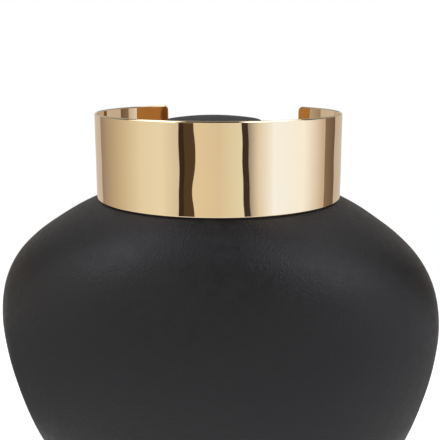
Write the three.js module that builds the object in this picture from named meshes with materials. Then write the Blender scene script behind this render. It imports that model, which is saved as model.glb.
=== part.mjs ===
// An open collar choker of polished gold-coloured sheet metal, resting on the neck bust that displays it.
// Millimetres, +Z up. The bust's flat base is the floor, its chest faces -Y, and the choker opens at +Y.

import * as THREE from 'three';

// ---- The choker: one strip of sheet metal, rolled into an open ring ----

const band = {
  outerRadius: 65.5,
  height: 45,
  sheet: 1.5,
  gapDegrees: 74.7,
  cornerRadius: 3,
  bottom: 182.5,
  // Over this length at its -X end the ring bends less tightly, by this share of its usual bend.
  leftEndLength: 18,
  leftEndBend: 0.6,
};

const bandSteps = { along: 120, corner: 5, edge: 4 };

// ---- The neck bust: a padded form under one smooth cover ----

const bust = {
  // The widest line of a shoulder section lies this far in front of the neck's axis.
  shoulderForward: 8,
  // Shoulder sections are a little squarer than an ellipse, whose power is 2.
  shoulderPower: 2.2,
  // The slim neck leans to -X between two levels, and ends in a shallow dome.
  neckLean: 3,
  leanStarts: 183,
  leanEnds: 212,
  domeRadius: 150,
  domeTop: 225.4,
};

// Each level's half width, and how far its section reaches forward and back of the neck's axis.
// "neck" is 1 where the section is a circle about that axis and 0 where it is a shoulder section.
const bustLevels = [
  { height: 0, halfWidth: 64, front: 54, back: 41, neck: 0 },
  { height: 2, halfWidth: 66.5, front: 56, back: 43, neck: 0 },
  { height: 14, halfWidth: 76.5, front: 61, back: 46, neck: 0 },
  { height: 30, halfWidth: 88.5, front: 66, back: 49.5, neck: 0 },
  { height: 55, halfWidth: 104, front: 72.5, back: 53.5, neck: 0 },
  { height: 85, halfWidth: 114.3, front: 78, back: 57, neck: 0 },
  { height: 110, halfWidth: 118.5, front: 81.5, back: 60, neck: 0 },
  { height: 127, halfWidth: 118, front: 82.5, back: 62, neck: 0 },
  { height: 141, halfWidth: 114.3, front: 82, back: 64, neck: 0 },
  { height: 153, halfWidth: 107.3, front: 80.5, back: 65.5, neck: 0 },
  { height: 163, halfWidth: 97.3, front: 78, back: 66.5, neck: 0.1 },
  { height: 171, halfWidth: 86, front: 74.5, back: 67, neck: 0.35 },
  { height: 177, halfWidth: 76, front: 70.5, back: 66.5, neck: 0.7 },
  { height: 182.1, halfWidth: 64.8, front: 64.8, back: 64.8, neck: 1 },
  { height: 185, halfWidth: 57.2, front: 57.2, back: 57.2, neck: 1 },
  { height: 188.5, halfWidth: 49, front: 49, back: 49, neck: 1 },
  { height: 192.5, halfWidth: 41, front: 41, back: 41, neck: 1 },
  { height: 197, halfWidth: 34.8, front: 34.8, back: 34.8, neck: 1 },
  { height: 202, halfWidth: 30.4, front: 30.4, back: 30.4, neck: 1 },
  { height: 208, halfWidth: 28, front: 28, back: 28, neck: 1 },
  { height: 214, halfWidth: 27.3, front: 27.3, back: 27.3, neck: 1 },
  { height: 219, halfWidth: 27.2, front: 27.2, back: 27.2, neck: 1 },
  { height: 222, halfWidth: 26.8, front: 26.8, back: 26.8, neck: 1 },
  { height: 223.2, halfWidth: 25, front: 25, back: 25, neck: 1 },
];

const bustSteps = { around: 72, perLevel: 2, dome: 5 };

// ---- Shared helpers ----

function closedMesh(name, points, triangles, finish) {
  const geometry = new THREE.BufferGeometry();
  geometry.setAttribute('position', new THREE.Float32BufferAttribute(points.flatMap((p) => p.toArray()), 3));
  geometry.setIndex(triangles.flat());
  geometry.computeVertexNormals();
  const mesh = new THREE.Mesh(geometry, new THREE.MeshStandardMaterial(finish));
  mesh.name = name;
  return mesh;
}

// The two triangles of the quad a, b, c, d, which runs anticlockwise seen from outside.
function quad(a, b, c, d) {
  return [[a, b, c], [a, c, d]];
}

// ---- The choker ----

// The flat strip's top edge from one end to the other, as places and outward directions in the strip's plane.
// It is inset by half the sheet, so that the rounded edge rolls from the outer face to the inner one.
function stripTopEdge(halfLength, halfHeight, cornerRadius) {
  const edge = [];
  const addPoint = (centreU, angle) => {
    const outward = new THREE.Vector2(Math.cos(angle), Math.sin(angle));
    const centre = new THREE.Vector2(centreU, halfHeight - cornerRadius);
    edge.push({ place: outward.clone().multiplyScalar(cornerRadius).add(centre), outward });
  };
  const straight = halfLength - cornerRadius;
  for (let i = 0; i < bandSteps.corner; i += 1) {
    addPoint(-straight, Math.PI - (Math.PI / 2) * (i / bandSteps.corner));
  }
  for (let i = 0; i <= bandSteps.along; i += 1) {
    addPoint(-straight + (2 * straight * i) / bandSteps.along, Math.PI / 2);
  }
  for (let i = 1; i <= bandSteps.corner; i += 1) {
    addPoint(straight, (Math.PI / 2) * (1 - i / bandSteps.corner));
  }
  return edge;
}

// The place on the ring of a point of the flat strip, moved outwards by the offset.
function ringPoint(flat, offset, middleRadius, leftStart) {
  const meeting = Math.max(flat.x, leftStart) / middleRadius;
  const inLeftEnd = flat.x < leftStart;
  const radius = inLeftEnd ? middleRadius / band.leftEndBend : middleRadius;
  const angle = inLeftEnd ? meeting + (flat.x - leftStart) / radius : meeting;
  const shift = middleRadius - radius;
  return new THREE.Vector3(
    shift * Math.sin(meeting) + (radius + offset) * Math.sin(angle),
    -shift * Math.cos(meeting) - (radius + offset) * Math.cos(angle),
    flat.y,
  );
}

function collarBand() {
  const roll = band.sheet / 2;
  const middleRadius = band.outerRadius - roll;
  const halfLength = middleRadius * (Math.PI - THREE.MathUtils.degToRad(band.gapDegrees) / 2);
  const top = stripTopEdge(halfLength - roll, band.height / 2 - roll, band.cornerRadius - roll);
  const flip = new THREE.Vector2(1, -1);
  const bottom = top.map(({ place, outward }) => (
    { place: place.clone().multiply(flip), outward: outward.clone().multiply(flip) }
  ));
  const outline = [...top, ...bottom.reverse()];

  const points = [];
  for (const { place, outward } of outline) {
    for (let k = 0; k <= bandSteps.edge; k += 1) {
      const turn = Math.PI / 2 - (Math.PI * k) / bandSteps.edge;
      const flat = outward.clone().multiplyScalar(roll * Math.cos(turn)).add(place);
      points.push(ringPoint(flat, roll * Math.sin(turn), middleRadius, band.leftEndLength - halfLength));
    }
  }

  const count = outline.length;
  const at = (j, k) => (j % count) * (bandSteps.edge + 1) + k;
  const triangles = [];
  for (let j = 0; j < count; j += 1) {
    for (let k = 0; k < bandSteps.edge; k += 1) {
      triangles.push(...quad(at(j, k), at(j + 1, k), at(j + 1, k + 1), at(j, k + 1)));
    }
  }
  for (let i = 0; i < top.length - 1; i += 1) {
    const below = count - 1 - i;
    triangles.push(...quad(at(i, 0), at(below, 0), at(below - 1, 0), at(i + 1, 0)));
    const inner = bandSteps.edge;
    triangles.push(...quad(at(i, inner), at(i + 1, inner), at(below - 1, inner), at(below, inner)));
  }
  const finish = { color: 0xd9b98a, roughness: 0.08, metalness: 1 };
  const mesh = closedMesh('collar_band', points, triangles, finish);
  mesh.position.z = band.bottom + band.height / 2;
  return mesh;
}

// ---- The neck bust ----

// Levels between the stated ones, on a smooth curve through them.
function smoothLevels(levels) {
  const columns = Object.keys(levels[0]);
  const smooth = [];
  levels.slice(0, -1).forEach((level, i) => {
    const before = levels[Math.max(i - 1, 0)];
    const next = levels[i + 1];
    const after = levels[Math.min(i + 2, levels.length - 1)];
    for (let step = 0; step < bustSteps.perLevel; step += 1) {
      const t = step / bustSteps.perLevel;
      smooth.push(Object.fromEntries(columns.map((column) => {
        const startSlope = (next[column] - before[column]) / (next.height - before.height);
        const endSlope = (after[column] - level[column]) / (after.height - level.height);
        const rise = next.height - level.height;
        const value = level[column] * (1 + 2 * t) * (1 - t) ** 2 + next[column] * t * t * (3 - 2 * t)
          + startSlope * rise * t * (1 - t) ** 2 - endSlope * rise * t * t * (1 - t);
        return [column, value];
      })));
    }
  });
  smooth.push(levels.at(-1));
  return smooth;
}

// The dome's levels, from the neck's rounded shoulder inwards.
function domeLevels(edgeRadius) {
  const levels = [];
  for (let i = 1; i < bustSteps.dome; i += 1) {
    const radius = edgeRadius * (1 - i / bustSteps.dome);
    const height = bust.domeTop - radius ** 2 / (2 * bust.domeRadius);
    levels.push({ height, halfWidth: radius, front: radius, back: radius, neck: 1 });
  }
  return levels;
}

function sectionPoint(level, angle) {
  const power = THREE.MathUtils.lerp(bust.shoulderPower, 2, level.neck);
  const squared = (value) => Math.sign(value) * Math.abs(value) ** (2 / power);
  const side = squared(Math.cos(angle));
  const depth = squared(Math.sin(angle));
  const forward = bust.shoulderForward * (1 - level.neck);
  const reach = depth < 0 ? level.front - forward : level.back + forward;
  const lean = bust.neckLean * THREE.MathUtils.smoothstep(level.height, bust.leanStarts, bust.leanEnds);
  return new THREE.Vector3(level.halfWidth * side - lean, depth * reach - forward, level.height);
}

function neckBust() {
  const levels = [...smoothLevels(bustLevels), ...domeLevels(bustLevels.at(-1).halfWidth)];
  const points = [];
  for (const level of levels) {
    for (let i = 0; i < bustSteps.around; i += 1) {
      points.push(sectionPoint(level, (2 * Math.PI * i) / bustSteps.around));
    }
  }
  const baseMiddle = points.push(new THREE.Vector3(0, 0, 0)) - 1;
  const domeMiddle = points.push(new THREE.Vector3(-bust.neckLean, 0, bust.domeTop)) - 1;

  const at = (row, i) => row * bustSteps.around + (i % bustSteps.around);
  const lastRow = levels.length - 1;
  const triangles = [];
  for (let i = 0; i < bustSteps.around; i += 1) {
    for (let row = 0; row < lastRow; row += 1) {
      triangles.push(...quad(at(row, i), at(row, i + 1), at(row + 1, i + 1), at(row + 1, i)));
    }
    triangles.push([baseMiddle, at(0, i + 1), at(0, i)]);
    triangles.push([domeMiddle, at(lastRow, i), at(lastRow, i + 1)]);
  }
  const finish = { color: 0x2b2a2b, roughness: 0.6, metalness: 0 };
  return closedMesh('neck_bust', points, triangles, finish);
}

// ---- The object, with the middle of its base at the origin ----

const object = new THREE.Group();
object.add(neckBust(), collarBand());
const middle = new THREE.Box3().setFromObject(object).getCenter(new THREE.Vector3());
object.position.set(-middle.x, -middle.y, 0);

export default object;
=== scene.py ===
"""The looks of an open collar choker of mirror-polished gold-coloured metal on a black leatherette neck bust.

Metres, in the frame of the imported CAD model: +Z up, the chest faces -Y, the choker opens at +Y.
"""

import math

import bpy
import numpy as np
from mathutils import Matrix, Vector, noise


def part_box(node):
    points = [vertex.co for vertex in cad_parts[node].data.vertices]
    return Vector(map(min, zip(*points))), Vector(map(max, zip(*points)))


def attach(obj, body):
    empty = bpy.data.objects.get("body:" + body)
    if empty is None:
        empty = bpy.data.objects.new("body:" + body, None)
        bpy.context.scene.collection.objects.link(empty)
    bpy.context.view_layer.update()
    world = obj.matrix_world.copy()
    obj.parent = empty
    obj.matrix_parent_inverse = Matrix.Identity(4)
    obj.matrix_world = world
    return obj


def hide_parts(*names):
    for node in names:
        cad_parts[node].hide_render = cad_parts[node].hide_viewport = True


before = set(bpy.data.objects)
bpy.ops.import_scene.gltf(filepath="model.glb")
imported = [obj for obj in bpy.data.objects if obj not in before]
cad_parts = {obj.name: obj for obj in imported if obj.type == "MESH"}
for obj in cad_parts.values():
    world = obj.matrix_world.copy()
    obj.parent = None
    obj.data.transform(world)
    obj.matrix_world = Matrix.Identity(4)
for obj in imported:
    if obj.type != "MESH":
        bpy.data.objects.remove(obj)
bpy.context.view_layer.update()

MM = 0.001

# ---- Driving dimensions, repeated from the CAD ----

band_low, band_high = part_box("collar_band")
OUTER_RADIUS = (band_high.x - band_low.x) / 2
RING_AXIS = Vector(((band_low.x + band_high.x) / 2, band_low.y + OUTER_RADIUS, 0))
RING_MIDDLE = Vector((RING_AXIS.x, RING_AXIS.y, (band_low.z + band_high.z) / 2))
BAND_HEIGHT = band_high.z - band_low.z
SHEET = 1.5 * MM
GAP_ANGLE = math.radians(74.7)
LEFT_END_LENGTH = 18 * MM
LEFT_END_BEND = 0.6
CORNER_RADIUS = 3 * MM

SHOULDER_FORWARD = 8 * MM
SHOULDER_POWER = 2.2
DOME_RADIUS = 150 * MM
DOME_TOP = 225.4 * MM
NECK_LEAN = 3 * MM
LEAN_STARTS = 183 * MM
LEAN_ENDS = 212 * MM

# Each level's height, half width, reach forward and back of the neck's axis in mm,
# and how far it is a neck's circle (1) or a shoulder section (0).
BUST_LEVELS = (
    (0, 64, 54, 41, 0),
    (2, 66.5, 56, 43, 0),
    (14, 76.5, 61, 46, 0),
    (30, 88.5, 66, 49.5, 0),
    (55, 104, 72.5, 53.5, 0),
    (85, 114.3, 78, 57, 0),
    (110, 118.5, 81.5, 60, 0),
    (127, 118, 82.5, 62, 0),
    (141, 114.3, 82, 64, 0),
    (153, 107.3, 80.5, 65.5, 0),
    (163, 97.3, 78, 66.5, 0.1),
    (171, 86, 74.5, 67, 0.35),
    (177, 76, 70.5, 66.5, 0.7),
    (182.1, 64.8, 64.8, 64.8, 1),
    (185, 57.2, 57.2, 57.2, 1),
    (188.5, 49, 49, 49, 1),
    (192.5, 41, 41, 41, 1),
    (197, 34.8, 34.8, 34.8, 1),
    (202, 30.4, 30.4, 30.4, 1),
    (208, 28, 28, 28, 1),
    (214, 27.3, 27.3, 27.3, 1),
    (219, 27.2, 27.2, 27.2, 1),
    (222, 26.8, 26.8, 26.8, 1),
    (223.2, 25, 25, 25, 1),
)


# ---- Mesh helpers ----

def mesh_piece(name, points, faces, material):
    mesh = bpy.data.meshes.new(name)
    mesh.from_pydata([tuple(p) for p in points], [], faces)
    mesh.shade_smooth()
    mesh.materials.append(material)
    piece = bpy.data.objects.new(name, mesh)
    bpy.context.scene.collection.objects.link(piece)
    return piece


def smooth_step(value, start, end):
    t = min(max((value - start) / (end - start), 0), 1)
    return t * t * (3 - 2 * t)


# ---- Material helpers ----

class Finish:
    """A node material built round one Principled shader."""

    def __init__(self, name):
        self.material = bpy.data.materials.new(name)
        self.material.use_nodes = True
        self.tree = self.material.node_tree
        self.shader = self.tree.nodes["Principled BSDF"]
        self.place = self.tree.nodes.new("ShaderNodeTexCoord").outputs["Object"]

    def link(self, source, target):
        self.tree.links.new(source, target)

    def set(self, **values):
        for socket, value in values.items():
            self.shader.inputs[socket.replace("_", " ")].default_value = value

    def noise(self, scale, detail=3, roughness=0.5, stretch=(1, 1, 1)):
        mapping = self.tree.nodes.new("ShaderNodeMapping")
        mapping.inputs["Scale"].default_value = stretch
        self.link(self.place, mapping.inputs["Vector"])
        texture = self.tree.nodes.new("ShaderNodeTexNoise")
        texture.inputs["Scale"].default_value = scale
        texture.inputs["Detail"].default_value = detail
        texture.inputs["Roughness"].default_value = roughness
        self.link(mapping.outputs["Vector"], texture.inputs["Vector"])
        return texture.outputs["Fac"]

    def cells(self, scale):
        texture = self.tree.nodes.new("ShaderNodeTexVoronoi")
        texture.inputs["Scale"].default_value = scale
        self.link(self.place, texture.inputs["Vector"])
        return texture.outputs["Distance"]

    def ramp(self, value, *stops):
        node = self.tree.nodes.new("ShaderNodeValToRGB")
        elements = node.color_ramp.elements
        while len(elements) < len(stops):
            elements.new(0.5)
        for element, (position, colour) in zip(elements, stops):
            element.position = position
            element.color = (*colour, 1) if isinstance(colour, tuple) else (colour, colour, colour, 1)
        self.link(value, node.inputs["Fac"])
        return node.outputs["Color"]

    def spread(self, value, low, high, start=0.0, end=1.0):
        node = self.tree.nodes.new("ShaderNodeMapRange")
        node.inputs["From Min"].default_value = start
        node.inputs["From Max"].default_value = end
        node.inputs["To Min"].default_value = low
        node.inputs["To Max"].default_value = high
        self.link(value, node.inputs["Value"])
        return node.outputs["Result"]

    def combine(self, operation, first, second):
        node = self.tree.nodes.new("ShaderNodeMath")
        node.operation = operation
        for value, socket in ((first, node.inputs[0]), (second, node.inputs[1])):
            if isinstance(value, (int, float)):
                socket.default_value = value
            else:
                self.link(value, socket)
        return node.outputs["Value"]

    def bump(self, height, strength, distance):
        node = self.tree.nodes.new("ShaderNodeBump")
        node.inputs["Strength"].default_value = strength
        node.inputs["Distance"].default_value = distance
        self.link(height, node.inputs["Height"])
        return node.outputs["Normal"]


def gold_metal():
    finish = Finish("gold_metal")
    finish.set(Metallic=1.0)
    tone = finish.noise(14, detail=4)
    gold = finish.ramp(tone, (0.3, (0.885, 0.705, 0.475)), (0.7, (0.87, 0.695, 0.485)))
    finish.link(gold, finish.shader.inputs["Base Color"])
    smudges = finish.noise(35, detail=5, roughness=0.6)
    finish.link(finish.spread(smudges, 0.018, 0.05, 0.35, 0.75), finish.shader.inputs["Roughness"])
    polish_lines = finish.noise(160, detail=2, stretch=(1, 1, 14))
    finish.link(finish.bump(polish_lines, 0.15, 0.004 * MM), finish.shader.inputs["Normal"])
    return finish.material


def black_leatherette():
    finish = Finish("black_leatherette")
    patches = finish.noise(22, detail=4, roughness=0.6)
    mottle = finish.noise(260, detail=3, roughness=0.65)
    wide = finish.combine("MULTIPLY", patches, 0.4)
    worn = finish.combine("ADD", wide, finish.combine("MULTIPLY", mottle, 0.6))
    black = finish.ramp(worn, (0.38, (0.0015, 0.0015, 0.002)), (0.62, (0.0055, 0.0055, 0.006)))
    finish.link(black, finish.shader.inputs["Base Color"])
    finish.link(finish.spread(worn, 0.44, 0.60, 0.35, 0.65), finish.shader.inputs["Roughness"])
    finish.set(Specular_IOR_Level=0.38, Specular_Tint=(0.97, 0.94, 1.0, 1.0))
    pebbles = finish.cells(900)
    pores = finish.noise(2000, detail=2)
    grain = finish.combine("ADD", pebbles, finish.combine("MULTIPLY", pores, 0.5))
    finish.link(finish.bump(grain, 0.7, 0.16 * MM), finish.shader.inputs["Normal"])
    return finish.material


# ---- The choker ----

ALONG_STEPS = 480
CORNER_STEPS = 10
EDGE_STEPS = 12
FACE_ROWS = 36
WAVE_DEPTH = 0.15 * MM
WAVE_ALONG = 34 * MM
WAVE_DOWN = 15 * MM

# Slight dents near the front: place along and up the strip, half length, half height and depth, in mm.
DENTS = (
    (2.2, -9, 4.5, 9, 0.15),
    (1.8, 20, 4.5, 7, 0.09),
)


def strip_top_edge(half_length, half_height, radius):
    """Points of the flat strip's top edge, each with its outward direction, from one end to the other."""
    straight = half_length - radius
    edge = []

    def add(centre, angle):
        out = (math.cos(angle), math.sin(angle))
        edge.append((centre + radius * out[0], half_height - radius + radius * out[1], *out))

    for i in range(CORNER_STEPS):
        add(-straight, math.pi - math.pi / 2 * i / CORNER_STEPS)
    for i in range(ALONG_STEPS + 1):
        add(-straight + 2 * straight * i / ALONG_STEPS, math.pi / 2)
    for i in range(1, CORNER_STEPS + 1):
        add(straight, math.pi / 2 * (1 - i / CORNER_STEPS))
    return edge


def band_point(u, v, middle_radius, offset):
    """The place on the ring of the strip's point u, v; the ring bends less tightly near its left end."""
    left_start = LEFT_END_LENGTH - middle_radius * (math.pi - GAP_ANGLE / 2)
    turned = max(u, left_start) / middle_radius
    centre = RING_MIDDLE.copy()
    radius = middle_radius
    if u < left_start:
        radius = middle_radius / LEFT_END_BEND
        centre += (middle_radius - radius) * Vector((math.sin(turned), -math.cos(turned), 0))
        turned += (u - left_start) / radius
    reach = radius + offset
    return centre + Vector((reach * math.sin(turned), -reach * math.cos(turned), v))


def unevenness(u, v):
    """How far the sheet lies inside its true ring at the strip's point u, v."""
    depth = WAVE_DEPTH * (1 - noise.noise(Vector((u / WAVE_ALONG, v / WAVE_DOWN, 0))))
    for along, up, half_length, half_height, dent in DENTS:
        away = ((u / MM - along) / half_length) ** 2 + ((v / MM - up) / half_height) ** 2
        depth += dent * MM * math.exp(-away)
    return depth


def row_fractions():
    """Places of the rows down the strip, closer together near its edges."""
    return [(1 - math.cos(math.pi * r / FACE_ROWS)) / 2 for r in range(FACE_ROWS + 1)]


def collar_band(material):
    roll = SHEET / 2
    middle_radius = OUTER_RADIUS - roll
    half_length = middle_radius * (math.pi - GAP_ANGLE / 2) - roll
    top = strip_top_edge(half_length, BAND_HEIGHT / 2 - roll, CORNER_RADIUS - roll)
    columns = len(top)
    fractions = row_fractions()

    def down(column, row):
        u, v, out_u, out_v = top[column]
        return u, v * (1 - 2 * fractions[row]), out_u, out_v

    outline = list(top)
    outline += [(*down(columns - 1, r)[:2], 1, 0) for r in range(1, FACE_ROWS)]
    outline += [(u, -v, out_u, -out_v) for u, v, out_u, out_v in reversed(top)]
    outline += [(*down(0, r)[:2], -1, 0) for r in range(FACE_ROWS - 1, 0, -1)]
    right_start = columns - 1
    bottom_end = 2 * columns + FACE_ROWS - 2

    points = []

    def add_point(u, v, offset):
        points.append(band_point(u, v, middle_radius, offset - unevenness(u, v)))
        return len(points) - 1

    rim = []
    for u, v, out_u, out_v in outline:
        turns = [math.pi / 2 - math.pi * k / EDGE_STEPS for k in range(EDGE_STEPS + 1)]
        rim.append([
            add_point(u + roll * math.cos(t) * out_u, v + roll * math.cos(t) * out_v, roll * math.sin(t))
            for t in turns
        ])

    faces = []
    for j, strip in enumerate(rim):
        following = rim[(j + 1) % len(rim)]
        for k in range(EDGE_STEPS):
            faces.append((strip[k], following[k], following[k + 1], strip[k + 1]))

    for k, offset in ((0, roll), (EDGE_STEPS, -roll)):
        def corner(column, row):
            if row == 0:
                return rim[column][k]
            if row == FACE_ROWS:
                return rim[bottom_end - column][k]
            if column == columns - 1:
                return rim[right_start + row][k]
            if column == 0:
                return rim[len(rim) - row][k]
            return inside[column, row]

        inside = {
            (c, r): add_point(*down(c, r)[:2], offset)
            for c in range(1, columns - 1) for r in range(1, FACE_ROWS)
        }
        for c in range(columns - 1):
            for r in range(FACE_ROWS):
                face = (corner(c, r), corner(c, r + 1), corner(c + 1, r + 1), corner(c + 1, r))
                faces.append(face if k == 0 else face[::-1])
    return mesh_piece("collar_band_polished", points, faces, material)


# ---- The neck bust ----

AROUND_STEPS = 288
STEPS_PER_LEVEL = 11
DOME_STEPS = 20


def smooth_levels():
    """Levels between the stated ones, on a smooth curve through them."""
    levels = np.array(BUST_LEVELS, float)
    last = len(levels) - 1
    smooth = []
    for i in range(last):
        before, level = levels[max(i - 1, 0)], levels[i]
        following, after = levels[i + 1], levels[min(i + 2, last)]
        rise = following[0] - level[0]
        start_slope = (following - before) / (following[0] - before[0]) * rise
        end_slope = (after - level) / (after[0] - level[0]) * rise
        for step in range(STEPS_PER_LEVEL):
            t = step / STEPS_PER_LEVEL
            smooth.append(
                level * (1 + 2 * t) * (1 - t) ** 2 + following * t * t * (3 - 2 * t)
                + start_slope * t * (1 - t) ** 2 - end_slope * t * t * (1 - t)
            )
    smooth.append(levels[last])
    return [(*(level[:4] * MM), level[4]) for level in smooth]


def dome_levels(edge_radius):
    radii = [edge_radius * (1 - i / DOME_STEPS) for i in range(1, DOME_STEPS)]
    return [(DOME_TOP - radius ** 2 / (2 * DOME_RADIUS), radius, radius, radius, 1) for radius in radii]


def section_point(level, angle):
    height, half_width, front, back, neck = level
    power = SHOULDER_POWER + (2 - SHOULDER_POWER) * neck
    side = math.copysign(abs(math.cos(angle)) ** (2 / power), math.cos(angle))
    depth = math.copysign(abs(math.sin(angle)) ** (2 / power), math.sin(angle))
    forward = SHOULDER_FORWARD * (1 - neck)
    reach = front - forward if depth < 0 else back + forward
    lean = NECK_LEAN * smooth_step(height, LEAN_STARTS, LEAN_ENDS)
    return RING_AXIS + Vector((half_width * side - lean, depth * reach - forward, height))


def neck_bust(material):
    levels = smooth_levels()
    levels += dome_levels(levels[-1][1])
    points = [
        section_point(level, 2 * math.pi * i / AROUND_STEPS)
        for level in levels for i in range(AROUND_STEPS)
    ]
    base_middle, dome_middle = len(points), len(points) + 1
    points += [RING_AXIS, RING_AXIS + Vector((-NECK_LEAN, 0, DOME_TOP))]

    faces = []
    last_row = len(levels) - 1

    def at(row, i):
        return row * AROUND_STEPS + i % AROUND_STEPS

    for i in range(AROUND_STEPS):
        faces.append((base_middle, at(0, i + 1), at(0, i)))
        faces.append((dome_middle, at(last_row, i), at(last_row, i + 1)))
        for row in range(last_row):
            faces.append((at(row, i), at(row, i + 1), at(row + 1, i + 1), at(row + 1, i)))
    return mesh_piece("neck_bust_padded", points, faces, material)


# ---- Camera, at the photo's viewing angle ----

CAMERA_AZIMUTH = math.radians(9.6)
CAMERA_ELEVATION = math.radians(11.83)
CAMERA_DISTANCE = 424.8 * MM
AIM_RIGHT = 0.8 * MM
AIM_BELOW = 36.6 * MM
LENS = 63.35

RIGHT = Vector((math.cos(CAMERA_AZIMUTH), math.sin(CAMERA_AZIMUTH), 0))
TOWARDS_CAMERA = Vector((
    math.sin(CAMERA_AZIMUTH) * math.cos(CAMERA_ELEVATION),
    -math.cos(CAMERA_AZIMUTH) * math.cos(CAMERA_ELEVATION),
    math.sin(CAMERA_ELEVATION),
))


def add_camera():
    data = bpy.data.cameras.new("camera")
    data.lens = LENS
    data.clip_start, data.clip_end = 0.01, 20
    camera = bpy.data.objects.new("camera", data)
    bpy.context.scene.collection.objects.link(camera)
    aim = RING_MIDDLE + RIGHT * AIM_RIGHT - Vector((0, 0, AIM_BELOW))
    camera.location = aim + TOWARDS_CAMERA * CAMERA_DISTANCE
    camera.rotation_euler = (-TOWARDS_CAMERA).to_track_quat("-Z", "Y").to_euler()
    bpy.context.scene.camera = camera


# ---- Floor, backdrop and the light tent ----

WALL = 0.85
TENT_HEIGHT = 1.5
PANEL_STEP = 4
FLOOR_RADIUS = 0.5

# The tent's panels, each between two upright edges. An edge is an azimuth round the ring, in degrees from the
# camera and positive to its right, and a distance from the ring's axis. Then come the panel's bottom and top,
# and the colours it goes between, from its first edge to its last one.
PANELS = (
    ("back_left", (-180, WALL), (-116, WALL), 0.001, 0.32, (0.66, 0.63, 0.57), (0.63, 0.57, 0.50)),
    ("far_left", (-129, 0.48), (-96, WALL), 0.001, 0.25, (0.34, 0.265, 0.215), (0.64, 0.58, 0.44)),
    ("left", (-96, WALL), (-70, WALL), 0.001, 0.25, (0.64, 0.58, 0.44), (0.865, 0.85, 0.725)),
    ("front_left", (-70, WALL), (-50, WALL), 0.001, 0.32, (0.865, 0.85, 0.725), (0.91, 0.905, 0.80)),
    ("left_edge", (-50, WALL), (-30, WALL), 0.001, 0.32, (0.91, 0.905, 0.80), (0.70, 0.66, 0.59)),
    ("front", (-30, WALL), (0, WALL), 0.001, 0.32, (0.87, 0.81, 0.66), (0.79, 0.73, 0.59)),
    ("front_middle", (0, WALL), (23, WALL), 0.001, 0.32, (0.79, 0.73, 0.60), (0.87, 0.91, 0.81)),
    ("right_edge", (23, WALL), (35, WALL), 0.001, 0.32, (0.19, 0.165, 0.15), (0.84, 0.83, 0.78)),
    ("front_right", (35, WALL), (48, WALL), 0.001, 0.32, (0.84, 0.83, 0.78), (1.04, 1.18, 1.36)),
    ("right", (48, WALL), (80, WALL), 0.001, 0.32, (1.06, 1.22, 1.48), (1.06, 1.17, 1.31)),
    ("far_right", (80, WALL), (106, WALL), 0.001, 0.25, (1.06, 1.17, 1.31), (0.64, 0.56, 0.48)),
    ("right_wall", (106, WALL), (128, WALL), 0.001, 0.25, (0.64, 0.57, 0.50), (0.62, 0.56, 0.50)),
    ("back_right", (128, WALL), (180, WALL), 0.001, 0.32, (0.60, 0.54, 0.48), (0.66, 0.63, 0.57)),
    ("right_flag", (107.5, 0.64), (123.5, 0.385), 0.03, 0.27, (0.27, 0.20, 0.145), (0.16, 0.115, 0.085)),
    ("high_back_left", (-180, WALL), (-131, WALL), 0.32, 1.15, (0.35, 0.34, 0.33), (0.56, 0.54, 0.51)),
    ("high_left", (-131, WALL), (-85, WALL), 0.25, 1.15, (0.46, 0.44, 0.41), (0.08, 0.08, 0.08)),
    ("softbox_left", (-85, WALL), (-38, WALL), 0.36, 1.5, (1.8, 1.8, 1.83), (4.0, 4.0, 4.05)),
    ("high_front", (-38, WALL), (25, WALL), 0.32, 1.5, (0.04, 0.04, 0.04), (0.04, 0.04, 0.04)),
    ("softbox_right", (25, WALL), (80, WALL), 0.5, 1.5, (4.9, 4.9, 4.95), (1.7, 1.7, 1.72)),
    ("high_right", (80, WALL), (128, WALL), 0.25, 1.15, (0.06, 0.06, 0.06), (0.36, 0.34, 0.32)),
    ("high_back_right", (128, WALL), (180, WALL), 0.32, 1.15, (0.47, 0.45, 0.43), (0.35, 0.34, 0.33)),
    ("top_left", (-180, WALL), (-85, WALL), 1.15, 1.5, (1.6, 1.55, 1.5), (2.6, 2.55, 2.5)),
    ("top_right", (80, WALL), (180, WALL), 1.15, 1.5, (2.8, 2.75, 2.7), (1.6, 1.55, 1.5)),
)
CEILING = (0.01, 0.01, 0.01)

# A bright ring just under the ceiling, open at the front. Its glow goes from its ends to the back.
RING_REACH = (0.63, WALL)
RING_HEIGHT = TENT_HEIGHT - 0.01
RING_START = 62
RING_RUNGS = 31
RING_ENDS_GLOW = (3.0, 2.95, 2.9)
RING_BACK_GLOW = (0.9, 0.87, 0.84)

# Dim cards on the floor beside the bust, seen only in reflections: first and last azimuths and shades.
LOW_CARD_REACH = (0.15, 0.5)
LOW_CARD_HEIGHT = 0.003
LOW_CARD_RUNGS = 15
LOW_CARDS = (
    ("low_left", -125, -50, 0.05, 0.9),
    ("low_front", -50, 50, 0.85, 0.85),
    ("low_right", 50, 125, 1.1, 0.25),
)

# Dark stands just inside the wall: their outlines, as azimuths and heights, and their colours.
STANDS_RADIUS = 0.84
STANDS = (
    (
        "left_gap",
        ((-33.9, 0), (-29, 0), (-29, 0.18), (-31.5, 0.18), (-33, 0.174), (-33.9, 0.162)),
        (0.045, 0.03, 0.02),
    ),
    ("left_stand", ((-29, 0), (-19.6, 0), (-19.6, 0.18), (-29, 0.18)), (0.09, 0.062, 0.038)),
    ("right_gap", ((21.9, 0), (27.6, 0), (25, 0.205), (19.6, 0.205)), (0.05, 0.038, 0.034)),
)


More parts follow.
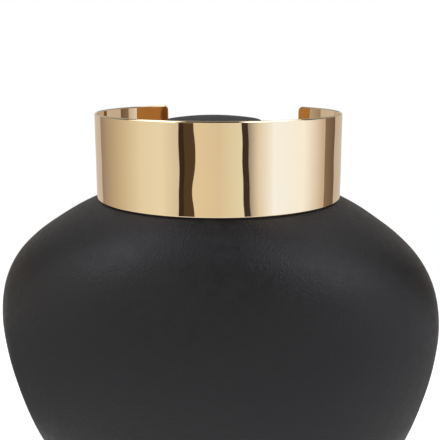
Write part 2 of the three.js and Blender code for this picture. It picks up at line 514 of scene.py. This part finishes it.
def glowing(name, colour=None):
    """An evenly glowing material, or one that takes its colour from the mesh's own glow attribute."""
    material = bpy.data.materials.new(name)
    material.use_nodes = True
    tree = material.node_tree
    tree.nodes.clear()
    emission = tree.nodes.new("ShaderNodeEmission")
    output = tree.nodes.new("ShaderNodeOutputMaterial")
    tree.links.new(emission.outputs["Emission"], output.inputs["Surface"])
    if colour is None:
        attribute = tree.nodes.new("ShaderNodeAttribute")
        attribute.attribute_name = "glow"
        tree.links.new(attribute.outputs["Color"], emission.inputs["Color"])
    else:
        emission.inputs["Color"].default_value = (*colour, 1)
    return material


def stage_card(name, points, faces, material):
    card = mesh_piece(name, points, faces, material)
    card.visible_camera = False
    return card


def tent_point(azimuth, radius, height):
    turn = CAMERA_AZIMUTH + math.radians(azimuth)
    return Vector((RING_AXIS.x + radius * math.sin(turn), RING_AXIS.y - radius * math.cos(turn), height))


def between(first, last, fraction):
    return [a + (b - a) * fraction for a, b in zip(first, last)]


def glowing_strip(name, rungs, colours, material):
    """A card made of a row of quads between rungs, pairs of points, each rung with its own colour."""
    points = [point for rung in rungs for point in rung]
    faces = [(2 * i, 2 * i + 2, 2 * i + 3, 2 * i + 1) for i in range(len(rungs) - 1)]
    card = stage_card(name, points, faces, material)
    glow = card.data.attributes.new("glow", "FLOAT_COLOR", "POINT")
    glow.data.foreach_set("color", [value for colour in colours for value in (*colour, 1, *colour, 1)])
    return card


def add_tent():
    material = glowing("tent_panel")
    for name, start, end, bottom, top, first, last in PANELS:
        steps = max(1, round((end[0] - start[0]) / PANEL_STEP))
        edges = [between(start, end, i / steps) for i in range(steps + 1)]
        rungs = [(tent_point(*edge, bottom), tent_point(*edge, top)) for edge in edges]
        colours = [between(first, last, i / steps) for i in range(steps + 1)]
        glowing_strip("tent_" + name, rungs, colours, material)

    for name, start, end, first, last in LOW_CARDS:
        azimuths = np.linspace(start, end, LOW_CARD_RUNGS)
        rungs = [
            [tent_point(azimuth, reach, LOW_CARD_HEIGHT) for reach in LOW_CARD_REACH]
            for azimuth in azimuths
        ]
        colours = [(shade, shade, shade) for shade in np.linspace(first, last, LOW_CARD_RUNGS)]
        card = glowing_strip("tent_" + name, rungs, colours, material)
        card.visible_diffuse = False
        card.visible_shadow = False

    for name, outline, colour in STANDS:
        points = [tent_point(azimuth, STANDS_RADIUS, max(height, 0.002)) for azimuth, height in outline]
        stage_card("tent_" + name, points, [tuple(range(len(points)))], glowing("tent_" + name, colour))

    rim = [tent_point(azimuth, WALL, TENT_HEIGHT) for azimuth in range(0, 360, 10)]
    stage_card("tent_ceiling", rim, [tuple(range(len(rim)))], glowing("tent_ceiling", CEILING))

    azimuths = np.linspace(RING_START, 360 - RING_START, RING_RUNGS)
    rungs = [[tent_point(azimuth, reach, RING_HEIGHT) for reach in RING_REACH] for azimuth in azimuths]
    to_ends = [abs(azimuth - 180) / (180 - RING_START) for azimuth in azimuths]
    colours = [between(RING_BACK_GLOW, RING_ENDS_GLOW, fraction) for fraction in to_ends]
    glowing_strip("tent_ceiling_ring", rungs, colours, material)


def add_floor():
    finish = Finish("pale_floor")
    finish.set(Roughness=0.8, Emission_Strength=0.5)
    finish.shader.inputs["Emission Color"].default_value = (1, 1, 1, 1)
    tone = finish.noise(3)
    finish.link(finish.ramp(tone, (0.4, 0.84), (0.6, 0.86)), finish.shader.inputs["Base Color"])
    corners = [tent_point(azimuth, FLOOR_RADIUS, 0) for azimuth in range(0, 360, 5)]
    floor = mesh_piece("floor", corners, [tuple(range(len(corners)))], finish.material)


def add_backdrop():
    world = bpy.data.worlds.new("white_backdrop")
    world.use_nodes = True
    world.node_tree.nodes["Background"].inputs["Color"].default_value = (1, 1, 1, 1)
    world.node_tree.nodes["Background"].inputs["Strength"].default_value = 1.0
    bpy.context.scene.world = world
    bpy.context.scene.view_settings.view_transform = "Standard"


# ---- The scene ----

add_camera()
add_floor()
add_backdrop()
add_tent()

for make, node, slot, material in (
    (collar_band, "collar_band", "gold_metal", gold_metal()),
    (neck_bust, "neck_bust", "black_leatherette", black_leatherette()),
):
    piece = make(material)
    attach(piece, "root")
    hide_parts(node)
